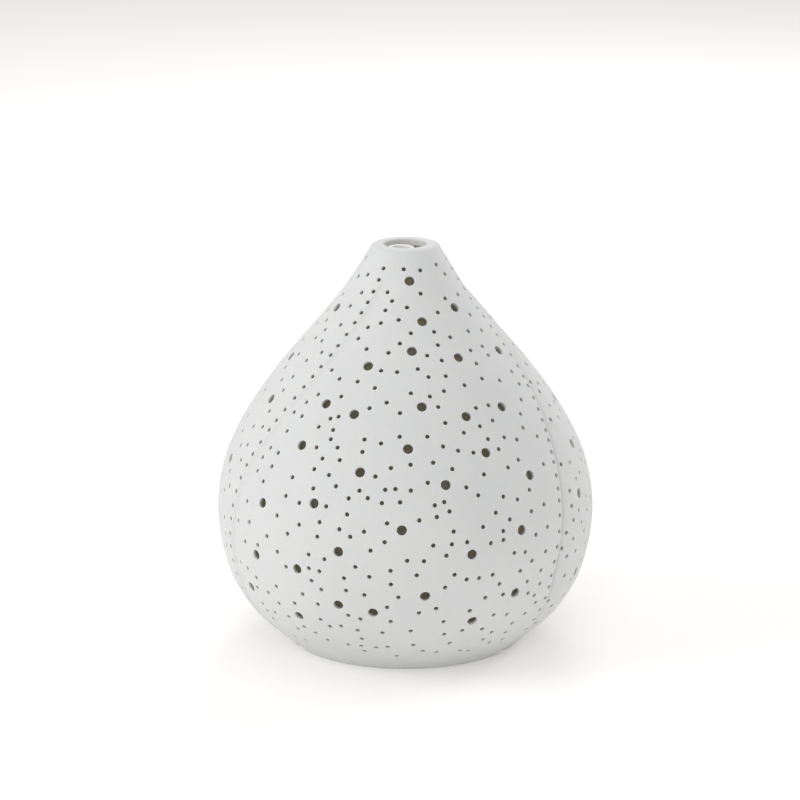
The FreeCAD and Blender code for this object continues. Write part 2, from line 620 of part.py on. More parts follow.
def air_duct():
    """Funnel from the fan up to the spout's stub, with a square flange over the fan."""
    half, cx, cy = FAN_SIZE / 2, SPOUT_PLACE.x, SPOUT_PLACE.y
    bore = SPOUT_OUTER + 0.05
    flange = block(cx - half, cx + half, cy - half, cy + half, FAN_TOP, FAN_TOP + 1.6)
    flange = flange.makeFillet(1.8, [e for e in flange.Edges if e.BoundBox.ZLength > 1])
    cone = Part.makeCone(FAN_BORE + 1, bore + 1.3, 6.4, SPOUT_PLACE + UP * (FAN_TOP + 1.6))
    collar = rod(bore + 1.3, FAN_TOP + 8, FLOOR_BOTTOM - 1.5, SPOUT_PLACE)
    posts = [rod(2.2, FAN_TOP, FAN_TOP + 4, spot) for spot in FAN_CORNERS]
    body = flange.fuse([cone, collar] + posts)
    cuts = [Part.makeCone(FAN_BORE, SPOUT_INNER, 7.0, SPOUT_PLACE + UP * (FAN_TOP + 0.6)),
            rod(FAN_BORE, FAN_TOP - 1, FAN_TOP + 0.6, SPOUT_PLACE),
            rod(SPOUT_INNER, FAN_TOP + 7, FLOOR_BOTTOM, SPOUT_PLACE),
            rod(bore, SPOUT_BOTTOM - 0.1, FLOOR_BOTTOM, SPOUT_PLACE)]
    cuts += [rod(0.9, FAN_TOP - 1, FAN_TOP + 3, spot) for spot in FAN_CORNERS]
    return body.cut(cuts).removeSplitter()


def fan_screws():
    return group([screw(spot, FAN_BOTTOM, FAN_TOP + 2.8, 2.2, 0.88, 1.3) for spot in FAN_CORNERS])


# ---- electronics -----------------------------------------------------------------------------
def main_board():
    hx, hy = BOARD_HALF
    board = block(-hx, hx, -hy, hy, BOARD_BOTTOM, BOARD_TOP)
    board = board.makeFillet(3, [e for e in board.Edges if e.BoundBox.ZLength > 1])
    return board.cut([rod(1.3, BOARD_BOTTOM - 1, BOARD_TOP + 1, V(x, y, 0)) for x, y in BOARD_SCREWS])


def board_screws():
    """Small screws, heads up, that hold the board down on its posts."""
    screws = []
    for x, y in BOARD_SCREWS:
        one = screw(V(0, 0, 0), 0, BOARD_TOP - BASE_BOTTOM - 1.4, 2.1, 0.78, 1.3)
        one.rotate(V(0, 0, 0), V(1, 0, 0), 180)
        one.translate(V(x, y, BOARD_TOP))
        screws.append(one)
    return group(screws)


def inductor():
    """Drum choke: a bobbin with a fat winding between two flanges."""
    place, low = V(8, -14, 0), BOARD_TOP
    return joined(rod(5.5, low, low + 1.4, place), rod(4.8, low + 1.4, low + 8.2, place),
                  rod(5.5, low + 8.2, low + 9.6, place))


def capacitors():
    """Electrolytic cans, each with the groove above its foot."""
    cans = []
    for x, y, radius, height in ((-10, -12, 4.0, 13.0), (-11, -1.5, 3.15, 11.0), (-4, -17.5, 2.5, 8.0)):
        place = V(x, y, 0)
        can = rod(radius, BOARD_TOP, BOARD_TOP + height, place)
        groove = ring(radius + 1, radius - 0.35, BOARD_TOP + 1.6, BOARD_TOP + 2.3, place)
        top = [e for e in can.Edges if abs(e.BoundBox.ZMin - BOARD_TOP - height) < 0.01]
        cans.append(can.makeFillet(0.5, top).cut(groove))
    return group(cans)


def heatsink():
    """Folded aluminium fins on a back plate."""
    low, high = BOARD_TOP, BOARD_TOP + 15
    plate = block(5.5, 16, 3.0, 4.4, low, high)
    fins = [block(5.5 + 2.2 * k, 6.6 + 2.2 * k, 4.4, 9.0, low, high) for k in range(5)]
    return joined(plate, *fins)


def power_transistor():
    """Three-legged package against the heat sink's plate."""
    body = block(6.5, 15.5, -1.0, 2.0, BOARD_TOP + 3.5, BOARD_TOP + 12.0)
    tab = block(6.5, 15.5, 2.0, 3.0, BOARD_TOP + 3.5, BOARD_TOP + 15.4)
    tab = tab.cut(Part.makeCylinder(1.2, 3, V(11, 1, BOARD_TOP + 13.7), BACK))
    legs = [block(x - 0.35, x + 0.35, 0.6, 1.2, BOARD_TOP, BOARD_TOP + 3.5) for x in (8.5, 11, 13.5)]
    return joined(body, tab, *legs)


def control_chip():
    """Small-outline controller with its legs."""
    x0, x1, y0, y1 = -6.0, 1.0, 3.0, 7.0
    parts = [block(x0, x1, y0, y1, BOARD_TOP + 0.15, BOARD_TOP + 1.6)]
    for k in range(7):
        x = x0 + 0.75 + k * 0.95
        for start, end in ((y0 - 1.0, y0), (y1, y1 + 1.0)):
            parts.append(block(x - 0.2, x + 0.2, start, end, BOARD_TOP, BOARD_TOP + 0.5))
    return joined(*parts)


def wire_headers():
    """Two white board sockets, for the disc's leads and the fan's."""
    sockets = []
    for x, y, half in ((14.0, -8.0, 2.2), (-15.0, 9.0, 3.2)):
        shell = block(x - 2.0, x + 2.0, y - half, y + half, BOARD_TOP, BOARD_TOP + 5)
        hollow = block(x - 1.3, x + 1.3, y - half + 0.7, y + half - 0.7, BOARD_TOP + 1, BOARD_TOP + 6)
        sockets.append(shell.cut(hollow))
    return group(sockets)


def transducer_wires():
    """Two leads from their socket up to the disc's underside."""
    leads = []
    for shift in (-0.9, 0.9):
        points = [V(14, -8 + shift, BOARD_TOP + 1), V(14, -8 + shift, 30),
                  V(12.5, -4 + shift, 38), V(12.5, -4 + shift, DISC_BOTTOM - 0.35)]
        leads.append(bent_tube(0.55, points, 3.0))
    return group(leads)


def fan_wires():
    """Two leads from their socket to the edge of the fan."""
    leads = []
    for shift in (-0.9, 0.9):
        points = [V(-15, 9 + shift, BOARD_TOP + 1), V(-15, 9 + shift, 19),
                  V(-15.5, 4 + shift, FAN_BOTTOM - 3), V(-15.5, 4 + shift, FAN_BOTTOM)]
        leads.append(bent_tube(0.5, points, 2.2))
    return group(leads)


def led_boards():
    """Curved light boards that lie on the housing's flange."""
    sectors = []
    for start in (12, 102, 192):
        sector = ring(32.0, 24.5, FLANGE_TOP, FLANGE_TOP + 1.2)
        wedge = Part.makeCylinder(40, 10, V(0, 0, FLANGE_TOP - 5), UP, 66)
        wedge.rotate(V(0, 0, 0), UP, start)
        sectors.append(sector.common(wedge))
    return group(sectors)


def leds():
    """Surface-mounted lights, two to a board."""
    chips = []
    for start in (12, 102, 192):
        for turn in (16, 50):
            chip = block(26.0, 29.5, -1.4, 1.4, FLANGE_TOP + 1.2, FLANGE_TOP + 3.0)
            dish = Part.makeCone(0.8, 1.15, 0.5, V(27.75, 0, FLANGE_TOP + 2.5))
            chip = chip.cut(dish)
            chip.rotate(V(0, 0, 0), UP, start + turn)
            chips.append(chip)
    return group(chips)


# ---- inlet and buttons -----------------------------------------------------------------------
def dc_jack():
    """Barrel socket on the board, its mouth against the service panel."""
    front = PANEL_Y - HOUSING_WALL
    body = block(-4.5, 4.5, 19, front, BOARD_TOP, ROW_HEIGHT + 4.5)
    collar = Part.makeCylinder(BUTTON_HOLE - 0.1, HOUSING_WALL - 0.2, V(0, front, ROW_HEIGHT), BACK)
    depth = INLET_DEPTH + HOUSING_WALL
    mouth = V(0, front + HOUSING_WALL, ROW_HEIGHT)
    return joined(body, collar).cut(Part.makeCylinder(INLET_BORE, depth, mouth, BACK * -1))


def dc_jack_pin():
    """Centre contact of the socket."""
    back = PANEL_Y - INLET_DEPTH
    length = INLET_DEPTH - 0.8
    pin = Part.makeCylinder(INLET_PIN, length, V(0, back, ROW_HEIGHT), BACK)
    tip = [e for e in pin.Edges if abs(e.BoundBox.YMin - back - length) < 0.01]
    return pin.makeFillet(0.5, tip)


def button_board():
    """Upright board behind the panel, cut out for the inlet."""
    board = block(-15.5, 15.5, 24.0, 25.6, BOARD_TOP, 21)
    return board.cut(block(-5.2, 5.2, 23, 27, BOARD_TOP - 1, ROW_HEIGHT + 5.2))


def tact_switches():
    """Click switches, each with its plunger, under the two buttons."""
    switches = []
    for side in (-1, 1):
        x = side * BUTTON_SPACING
        body = block(x - 3, x + 3, 25.6, 27.4, ROW_HEIGHT - 3, ROW_HEIGHT + 3)
        plunger = Part.makeCylinder(1.7, 1.1, V(x, 27.4, ROW_HEIGHT), BACK)
        switches.append(joined(body, plunger))
    return group(switches)


def button(side):
    """Push button: a cap through the panel and a wider flange behind it."""
    panel_inner = PANEL_Y - HOUSING_WALL
    x = side * BUTTON_SPACING
    seat = V(x, panel_inner, ROW_HEIGHT)
    cap = Part.makeCylinder(BUTTON_RADIUS, BUTTON_FRONT - panel_inner, seat, BACK)
    front = [e for e in cap.Edges if abs(e.BoundBox.YMin - BUTTON_FRONT) < 0.01]
    cap = cap.makeFillet(0.6, front)
    rear = V(x, BUTTON_BACK, ROW_HEIGHT)
    flange = Part.makeCylinder(BUTTON_FLANGE, panel_inner - BUTTON_BACK, rear, BACK)
    return joined(cap, flange)


def main():
    os.makedirs("parts", exist_ok=True)
    save("ceramic_cover", ceramic_cover(), V(0, 0, 0))
    for piece in (inner_cover, mist_chimney, tank, transducer, transducer_seal, transducer_clamp,
                  transducer_screws, housing_seal, base_housing, tank_screws, bottom_cover, base_screws,
                  rubber_feet, fan_frame, fan_rotor, air_duct, fan_screws, main_board, board_screws,
                  inductor, capacitors, heatsink, power_transistor, control_chip, wire_headers,
                  transducer_wires, fan_wires, led_boards, leds, dc_jack, dc_jack_pin, button_board,
                  tact_switches):
        save(piece.__name__, piece())
    save("mist_button", button(-1))
    save("light_button", button(1))


main()
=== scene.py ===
import itertools
import math
import random

import bpy
import numpy as np
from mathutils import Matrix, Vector
from mathutils.geometry import delaunay_2d_cdt


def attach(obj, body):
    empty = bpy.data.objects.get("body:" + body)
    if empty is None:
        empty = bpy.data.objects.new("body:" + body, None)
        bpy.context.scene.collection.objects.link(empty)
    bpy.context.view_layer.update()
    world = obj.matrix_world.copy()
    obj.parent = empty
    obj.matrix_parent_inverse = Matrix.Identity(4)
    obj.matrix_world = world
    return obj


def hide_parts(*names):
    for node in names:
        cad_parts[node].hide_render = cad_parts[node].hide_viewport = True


# Ultrasonic aroma diffuser. The pierced porcelain cover is rebuilt here with all its holes; the
# engine, the lid and the chimney are the CAD's own pieces with finished materials.

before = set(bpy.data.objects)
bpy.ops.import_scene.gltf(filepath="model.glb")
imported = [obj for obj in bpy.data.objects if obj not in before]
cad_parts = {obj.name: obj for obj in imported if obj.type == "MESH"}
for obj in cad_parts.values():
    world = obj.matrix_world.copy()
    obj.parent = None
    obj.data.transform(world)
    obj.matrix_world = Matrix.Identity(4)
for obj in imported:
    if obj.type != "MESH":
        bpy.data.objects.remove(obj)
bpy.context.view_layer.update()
MM = 0.001

# ---- the cover's outline and relief, in millimetres ----------------------------------------
OUTLINE = [
    (0, 43.2), (4.5, 48.3), (12, 56.5), (22.5, 63.8), (36, 68.4), (51, 70.0), (67.5, 67.5),
    (85.5, 59.4), (103.5, 47.0), (120, 33.3), (133.5, 22.5), (144, 15.7), (150, 12.0),
]
HEIGHT = OUTLINE[-1][0]
WALL = 2.6
EDGE = 0.5                    # rounding of the foot ring and of the notch
FOOT_START = EDGE
FOOT_INNER = 39.3             # inner radius of the foot ring
FOOT_BEND = 8.0               # below this the inner face runs straight down to the foot ring
LIP_START = 148.4             # height at which the outer wall turns over into the lip
THROAT = 147.1                # lower end of the straight mouth
LIP_RADIUS = 13.0             # outer radius where the lip starts
MOUTH = 7.95
# the rolled lip as (radius, height, depth), over the crest and down the mouth; depth runs from 0 on
# the outer face of the wall to 1 on its inner face
LIP = [
    (12.75, 149.05, 0.0), (12.3, 149.5, 0.0), (11.65, 149.82, 0.0), (10.8, 149.98, 0.0),
    (9.6, 150.0, 0.0), (8.6, 149.99, 0.0), (8.25, 149.93, 0.05), (8.05, 149.77, 0.15),
    (MOUTH, 149.5, 0.3), (MOUTH, 148.6, 0.6), (MOUTH, 147.8, 0.8),
]
PETAL = 120.0
FIRST_CREASE = 60.0
SEAM_CREASE = -60.0           # the mesh closes along this crease
CREASE_DEPTH, CREASE_RISE, CREASE_FALL = 1.3, 9.0, 1.8
TWIST_START, TWIST_SPAN, TWIST_ANGLE, TWIST_POWER = 60.0, 88.0, 45.0, 1.6
FOOT_LEAN, FOOT_LEAN_TOP, FOOT_LEAN_SPAN = 3.2, 66.0, 30.0
WRINKLE_DEPTH = 0.12
WRINKLE_SIDES, WRINKLE_SIDE_FADE = (4.0, 50.0), 12.0        # their place in azimuth and height
WRINKLE_HEIGHTS, WRINKLE_HEIGHT_FADES = (12.0, 54.0), (10.0, 14.0)
WRINKLE_PITCH, WRINKLE_SLANT = 65.0, 0.15   # how closely they follow each other, and how they lean
WRINKLE_BEND, WRINKLE_BEND_HEIGHT = 1.4, 9.0
SEAM_DEPTH, SEAM_WIDTH = 0.5, 0.5     # the fine groove along the bottom of each crease
# Painted shade: the porcelain paints a darker line beside each crease, as strong as its groove's share
# below.
SHADE_WIDTH = 1.8                     # reach of the darker line beside it, on the gentle side
# the creases and their grooves aren't equally crisp: right, back, left
CREASE_SHARE = np.array((1.0, 0.8, 0.6))
SEAM_SHARE = np.array((1.0, 0.5, 0.1))
RELIEF_FADE = (134.0, 146.0)

NOTCH_WIDTH, NOTCH_HEIGHT, NOTCH_ROUNDING = 36.0, 20.0, 10.0

STAR_RADIUS, STAR_RIM, STAR_SIDES = 1.8, 0.3, 22
STAR_GAP, STAR_CLOSE_GAP, STAR_WIDE_COUNT = 17.0, 12.0, 45
STAR_CREASE_GAP, STAR_NOTCH_GAP, STAR_SEED, STAR_COUNT = 5.0, 6.0, 194, 100
HIDDEN_SIDE, HIDDEN_HEIGHTS = (101.0, 279.0), (20.0, 134.0)
FRONT_STARS = [
    (8, 140), (49, 130), (-67, 128), (16, 127), (7, 118), (34, 115), (66, 114), (-17, 113),
    (-78, 109), (10, 101), (-32, 100), (-18, 98), (46, 98), (28, 97), (-66, 96), (91, 92),
    (4, 88), (-36, 86), (32, 85), (-12, 80), (79, 78), (16, 76), (47, 75), (-75, 72), (-26, 68),
    (-46, 64), (71, 62), (2, 61), (40, 57), (-17, 52), (23, 51), (-48, 44), (-31, 43), (9, 36),
    (39, 33), (-18, 31), (73, 31), (-7, 29), (-55, 29), (25, 24), (-34, 23),
]
DOT_RADIUS, DOT_RIM, DOT_SIDES = 0.8, 0.24, 12
DOT_COUNT, DOT_GAP, DOT_SEED = 800, 5.3, 23
DOT_HEIGHTS = (8.0, 147.0)
DOT_GAP_SHARES = (1, 1, 1, 1, 0.95, 0.9, 0.8, 0.6)          # a few are closer together
DOT_CREASE_GAP, DOT_NOTCH_GAP, DOT_STAR_GAP, DOT_ROW_GAP = 2.2, 3.5, 4.3, 4.0
DOT_TRIES = 60000
# the dotted rows, left, right and back: how far beside the crease they run, below and at the neck,
# and the gaps between their dots
ROW_SHIFTS = ((2.4, 2.4), (3.0, 5.0), (3.0, 3.0))
ROW_GAPS = (4.7, 4.2, 4.2)
ROW_START, ROW_START_STEP, ROW_TOP = 11.0, 2.0, 146.8
ROW_JITTER = 0.6
ROW_SHIFT_START, ROW_SHIFT_SPAN = 108.0, 22.0               # where the shift changes
ROW_WIDER, ROW_WIDER_TOP, ROW_WIDER_SPAN = 1.1, 75.0, 30.0  # the gaps widen towards the foot
ROW_STAR_GAP, ROW_NOTCH_GAP = 2.2, 3.0

GRID = 1.7                    # mesh spacing outside and inside
INNER_GRID = 4.0
SEAM_STEP = 1.5               # spacing of the outside's points along the seam
FOOT_POINTS = (110, 56)       # round the foot, from the seam to the notch and on to the seam
LIP_POINTS = 97
NOTCH_POINTS = (7, 9, 6)      # up the side of the notch, round its corner and to its middle
CLEAR_CELL = 4.0              # coarse grid that the clear distances are looked up on
# lines of points along each crease, where the surface bends most, and their clear distance
CREASE_LINES = (0.0, -0.3, 0.3, -0.6, 0.6, -0.95, 0.95, -1.35, 1.5, -1.8, 2.6, -2.3)
CREASE_LINE_GAP = 0.3
CREASE_NOTCH_GAP = 2.0
# the filling points: clear distance and first and last row as shares of the spacing, the fewest in
# a row, and their distance from the notch's edge
PAD_SHARE, FIRST_ROW_SHARE, LAST_ROW_SHARE, LEAST_ROW, FILL_NOTCH_GAP = 0.55, 0.8, 0.5, 12, 0.9
RIM_STEPS = (0.3, 0.62, 1.0)  # rows of points round a hole's rim, as shares of the quarter turn
RIM_DEPTH = 0.25              # depth attribute at the bottom of a rim


def smooth(t):
    t = np.clip(t, 0.0, 1.0)
    return t * t * (3 - 2 * t)


def outline_slopes():
    z = [p[0] for p in OUTLINE]
    r = [p[1] for p in OUTLINE]
    chords = [(r[i + 1] - r[i]) / (z[i + 1] - z[i]) for i in range(len(z) - 1)]
    slopes = [chords[0] + (chords[0] - chords[1]) * 0.35]
    for i in range(1, len(chords)):
        before, after = z[i] - z[i - 1], z[i + 1] - z[i]
        slopes.append((chords[i - 1] * after + chords[i] * before) / (before + after))
    return np.array(slopes + [chords[-1]])


OUTLINE_Z = np.array([p[0] for p in OUTLINE], float)
OUTLINE_R = np.array([p[1] for p in OUTLINE], float)
OUTLINE_M = outline_slopes()


def mean_radius(z):
    """Mean outer radius and its slope at heights z, by the same cubic pieces as the CAD cover."""
    z = np.asarray(z, float)
    i = np.clip(np.searchsorted(OUTLINE_Z, z, side="left") - 1, 0, len(OUTLINE_Z) - 2)
    z0, h = OUTLINE_Z[i], OUTLINE_Z[i + 1] - OUTLINE_Z[i]
    r0, r1, m0, m1 = OUTLINE_R[i], OUTLINE_R[i + 1], OUTLINE_M[i], OUTLINE_M[i + 1]
    t = (z - z0) / h
    radius = (r0 * (1 + 2 * t) * (1 - t) ** 2 + m0 * h * t * (1 - t) ** 2
              + r1 * t * t * (3 - 2 * t) + m1 * h * t * t * (t - 1))
    slope = (r1 - r0) * 6 * t * (1 - t) / h + m0 * (1 - t) * (1 - 3 * t) + m1 * t * (3 * t - 2)
    return radius, slope


def twist(z):
    """Degrees that the creases have leant round at heights z."""
    z = np.asarray(z, float)
    lean = TWIST_ANGLE * (np.maximum(0.0, z - TWIST_START) / TWIST_SPAN) ** TWIST_POWER
    return lean - FOOT_LEAN * smooth((FOOT_LEAN_TOP - z) / FOOT_LEAN_SPAN)


def crease_turn(azimuth, z):
    """Degrees past the first crease, and the number of the nearest crease."""
    turn = azimuth - FIRST_CREASE - twist(z)
    return turn, np.round(turn / PETAL)


def seam_line(azimuth, z, reach=SEAM_WIDTH):
    """1 along the bottom of a crisp crease, less along the softer ones, 0 away from them. On the
    gentle side it reaches further out than in the groove."""
    turn, nearest = crease_turn(azimuth, z)
    off_crease = np.radians(turn - nearest * PETAL) * mean_radius(z)[0]
    width = np.where(off_crease > 0, reach, SEAM_WIDTH)
    return SEAM_SHARE[np.mod(nearest, 3).astype(int)] * np.exp(-(off_crease / width) ** 2)


def relief(azimuth, z):
    """How far the petals' surface stands off the mean radius."""
    radius = mean_radius(z)[0]
    turn, nearest = crease_turn(azimuth, z)
    past = np.mod(turn, PETAL)
    depth = CREASE_DEPTH * (1 - smooth((z - RELIEF_FADE[0]) / (RELIEF_FADE[1] - RELIEF_FADE[0])))
    gentle = smooth(1 - np.radians(past) * radius / CREASE_RISE)
    steep = smooth(1 - np.radians(PETAL - past) * radius / CREASE_FALL)
    groove = SEAM_DEPTH / CREASE_DEPTH * seam_line(azimuth, z)
    share = CREASE_SHARE[np.mod(nearest, 3).astype(int)]
    return -depth * (share * np.maximum(gentle, steep) + groove)


def wrinkles(azimuth, z):
    """Faint slanting folds low on the front, where the wall was pinched before firing."""
    (left, right), (low, high), fades = WRINKLE_SIDES, WRINKLE_HEIGHTS, WRINKLE_HEIGHT_FADES
    share = (smooth((azimuth - left) / WRINKLE_SIDE_FADE) * smooth((right - azimuth) / WRINKLE_SIDE_FADE)
             * smooth((z - low) / fades[0]) * smooth((high - z) / fades[1]))
    wave = np.radians(WRINKLE_PITCH * (azimuth + WRINKLE_SLANT * z))
    return WRINKLE_DEPTH * share * np.sin(wave + WRINKLE_BEND * np.sin(z / WRINKLE_BEND_HEIGHT))


def outer_point(azimuth, z):
    """Points of the outer surface, for arrays of azimuth (degrees) and height."""
    azimuth, z = np.broadcast_arrays(np.asarray(azimuth, float), np.asarray(z, float))
    rho = mean_radius(z)[0] + relief(azimuth, z) + wrinkles(azimuth, z)
    a = np.radians(azimuth)
    return np.stack([rho * np.sin(a), -rho * np.cos(a), z], axis=-1)


# Near the neck the wall thickens into the lip: outer height against inner (radius, height)
NECK = [(138.0, None), (142.0, (14.3, 140.2)), (146.0, (11.5, 144.9)), (147.6, (9.4, 146.4)),
        (LIP_START, (MOUTH, THROAT))]


def inner_profile(z):
    """Inner (radius, height) that faces the outer height z."""
    z = np.asarray(z, float)
    radius, slope = mean_radius(z)
    length = np.hypot(1, slope)
    r_in = radius - WALL / length
    z_in = z + WALL * slope / length
    start = NECK[0][0]
    r0, m0 = mean_radius(start)
    l0 = math.hypot(1, m0)
    heights = [start] + [row[0] for row in NECK[1:]]
    radii = [r0 - WALL / l0] + [row[1][0] for row in NECK[1:]]
    levels = [start + WALL * m0 / l0] + [row[1][1] for row in NECK[1:]]
    r_in = np.where(z > start, np.interp(z, heights, radii), r_in)
    z_in = np.where(z > start, np.interp(z, heights, levels), z_in)
    bend_r, bend_m = (float(v) for v in mean_radius(FOOT_BEND))
    bend_length = math.hypot(1, bend_m)
    t = (z - FOOT_START) / (FOOT_BEND - FOOT_START)
    r_low = FOOT_INNER + (bend_r - WALL / bend_length - FOOT_INNER) * t
    z_low = FOOT_START + (FOOT_BEND + WALL * bend_m / bend_length - FOOT_START) * t
    low = z < FOOT_BEND
    return np.where(low, r_low, r_in), np.where(low, z_low, z_in)


def inner_point(azimuth, z):
    """Points of the inner surface that face the outer height z."""
    azimuth, z = np.broadcast_arrays(np.asarray(azimuth, float), np.asarray(z, float))
    r_in, z_in = inner_profile(z)
    a = np.radians(azimuth)
    return np.stack([r_in * np.sin(a), -r_in * np.cos(a), z_in], axis=-1)


def normals_of(point, azimuth, z, outward):
    """Unit normals of a surface by small differences."""
    step = 0.05
    around = point(azimuth + step, z) - point(azimuth - step, z)
    above, below = np.minimum(z + step, LIP_START), np.maximum(z - step, FOOT_START)
    along = point(azimuth, above) - point(azimuth, below)
    n = np.cross(around, along)
    n /= np.linalg.norm(n, axis=-1, keepdims=True)
    return n if outward else -n


# The flat domain of the mesh: x is the azimuth in radians and y is the distance up the wall over
# the radius, so that a small circle there is a small circle on the cover
TABLE_Z = np.linspace(FOOT_START, LIP_START, 4000)
TABLE_R = mean_radius(TABLE_Z)[0]
TABLE_STEPS = np.hypot(np.diff(TABLE_Z), np.diff(TABLE_R))
TABLE_S = np.concatenate([[0], np.cumsum(TABLE_STEPS)])
TABLE_Y = np.concatenate([[0], np.cumsum(TABLE_STEPS * 2 / (TABLE_R[1:] + TABLE_R[:-1]))])


def y_of(z):
    return np.interp(z, TABLE_Z, TABLE_Y)


def z_of(y):
    return np.interp(y, TABLE_Y, TABLE_Z)


# ---- where the holes are -------------------------------------------------------------------
class Spots:
    """Points that others keep clear of, each by its own distance, on a coarse grid."""

    def __init__(self, cell):
        self.cell, self.cells = cell, {}

    def key(self, p):
        return tuple(int(c // self.cell) for c in p)

    def add(self, p, keep):
        self.cells.setdefault(self.key(p), []).append((p, keep))

    def is_clear(self, p, gap=0.0):
        near = [range(c - 1, c + 2) for c in self.key(p)]
        return all(math.dist(p, other) >= max(gap, keep)
                   for key in itertools.product(*near) for other, keep in self.cells.get(key, ()))


def crease_distance(azimuth, z):
    """Distance from the nearest crease, along the surface, in millimetres."""
    past = float(np.mod(azimuth - FIRST_CREASE - twist(z), PETAL))
    return math.radians(min(past, PETAL - past)) * float(mean_radius(z)[0])


def in_notch(point, z, margin):
    return abs(point[0]) < NOTCH_WIDTH / 2 + margin and z < NOTCH_HEIGHT + margin and point[1] > 0


def mean_place(azimuth, z):
    """The place on the mean outline, without the creases."""
    a, radius = math.radians(azimuth), float(mean_radius(z)[0])
    return (radius * math.sin(a), -radius * math.cos(a), z)


def girth(z):
    """Product of radius and steepness, to which the chance of a hole at a height is in proportion."""
    radius, slope = (float(v) for v in mean_radius(z))
    return radius * math.hypot(1, slope)


WIDEST_GIRTH = max(girth(z) for z in range(1, HEIGHT))


def hidden_stars():
    """The same seeded scatter of large holes as the CAD cover's, on the side away from the front."""
    draw = random.Random(STAR_SEED)
    placed = []
    taken = [mean_place(a, z) for a, z in FRONT_STARS]
    while len(placed) < STAR_COUNT - len(FRONT_STARS):
        azimuth = draw.uniform(*HIDDEN_SIDE)
        z = draw.uniform(*HIDDEN_HEIGHTS)
        chance = draw.random()
        if chance > girth(z) / WIDEST_GIRTH or crease_distance(azimuth, z) < STAR_CREASE_GAP:
            continue
        spot = mean_place(azimuth, z)
        if abs(spot[0]) < NOTCH_WIDTH / 2 + STAR_NOTCH_GAP and z < NOTCH_HEIGHT + STAR_NOTCH_GAP:
            continue
        gap = STAR_GAP if len(placed) < STAR_WIDE_COUNT else STAR_CLOSE_GAP
        if any(math.dist(spot, other) < gap for other in taken):
            continue
        placed.append((azimuth, z))
        taken.append(spot)
    return placed


def row_dots():
    """The dotted rows beside the three creases."""
    dots = []
    draw = random.Random(DOT_SEED + 1)
    for k, ((low_shift, high_shift), gap) in enumerate(zip(ROW_SHIFTS, ROW_GAPS)):
        z = ROW_START + ROW_START_STEP * k
        while z < ROW_TOP:
            radius, slope = (float(v) for v in mean_radius(z))
            risen = float(smooth((z - ROW_SHIFT_START) / ROW_SHIFT_SPAN))
            shift = low_shift + (high_shift - low_shift) * risen
            azimuth = SEAM_CREASE + PETAL * k + float(twist(z)) - math.degrees(shift / radius)
            dots.append((azimuth, z))
            wider = ROW_WIDER * float(smooth((ROW_WIDER_TOP - z) / ROW_WIDER_SPAN))
            z += (gap + wider + draw.uniform(-ROW_JITTER, ROW_JITTER)) / math.hypot(1, slope)
    return dots


def scattered_dots(stars, rows):
    """Small holes everywhere else, no two too close, with a few close pairs."""
    draw = random.Random(DOT_SEED)
    taken = Spots(DOT_GAP)
    for spots, keep in ((stars, DOT_STAR_GAP), (rows, DOT_ROW_GAP)):
        for a, z in spots:
            taken.add(mean_place(a, z), keep)
    dots = []
    for _ in range(DOT_TRIES):
        if len(dots) == DOT_COUNT:
            break
        azimuth = draw.uniform(-180, 180)
        z = draw.uniform(*DOT_HEIGHTS)
        chance = draw.random()
        gap = DOT_GAP * draw.choice(DOT_GAP_SHARES)
        if chance > girth(z) / WIDEST_GIRTH or crease_distance(azimuth, z) < DOT_CREASE_GAP:
            continue
        if in_notch(outer_point(azimuth, z), z, DOT_NOTCH_GAP):
            continue
        spot = mean_place(azimuth, z)
        if taken.is_clear(spot, gap):
            dots.append((azimuth, z))
            taken.add(spot, 0)
    return dots


def all_holes():
    """Every hole as (azimuth, height, bore radius, rim, sides)."""
    stars = FRONT_STARS + hidden_stars()
    star_places = [outer_point(*star) for star in stars]
    rows = [d for d in row_dots()
            if all(math.dist(outer_point(*d), star) > STAR_RADIUS + ROW_STAR_GAP for star in star_places)
            and not in_notch(outer_point(*d), d[1], ROW_NOTCH_GAP)]
    dots = rows + scattered_dots(stars, rows)
    return ([(a, z, STAR_RADIUS, STAR_RIM, STAR_SIDES) for a, z in stars]
            + [(a, z, DOT_RADIUS, DOT_RIM, DOT_SIDES) for a, z in dots])


# ---- the cover's mesh ----------------------------------------------------------------------
SEAM_WRAP = 2 * math.pi


def seam_x(z):
    """Where the domain starts at height z."""
    return np.radians(SEAM_CREASE + twist(z))


def near_seam(azimuth, z):
    """The azimuth in radians, wrapped into the domain that starts at the seam."""
    start = float(seam_x(z))
    return start + (math.radians(azimuth) - start) % SEAM_WRAP


def notch_outline(margin):
    """Half widths and heights of the arch, from the foot up one side and down the other."""
    half, top, bend = NOTCH_WIDTH / 2 + margin, NOTCH_HEIGHT + margin, NOTCH_ROUNDING + margin
    up, round_corner, across = NOTCH_POINTS
    side = [(half, z) for z in np.linspace(FOOT_START, top - bend, up)]
    arc = [(half - bend + bend * math.cos(t), top - bend + bend * math.sin(t))
           for t in np.linspace(0, math.pi / 2, round_corner)[1:]]
    flat = [(x, top) for x in np.linspace(half - bend, 0, across)[1:]]
    right = side + arc + flat
    return right + [(-x, z) for x, z in reversed(right[:-1])]


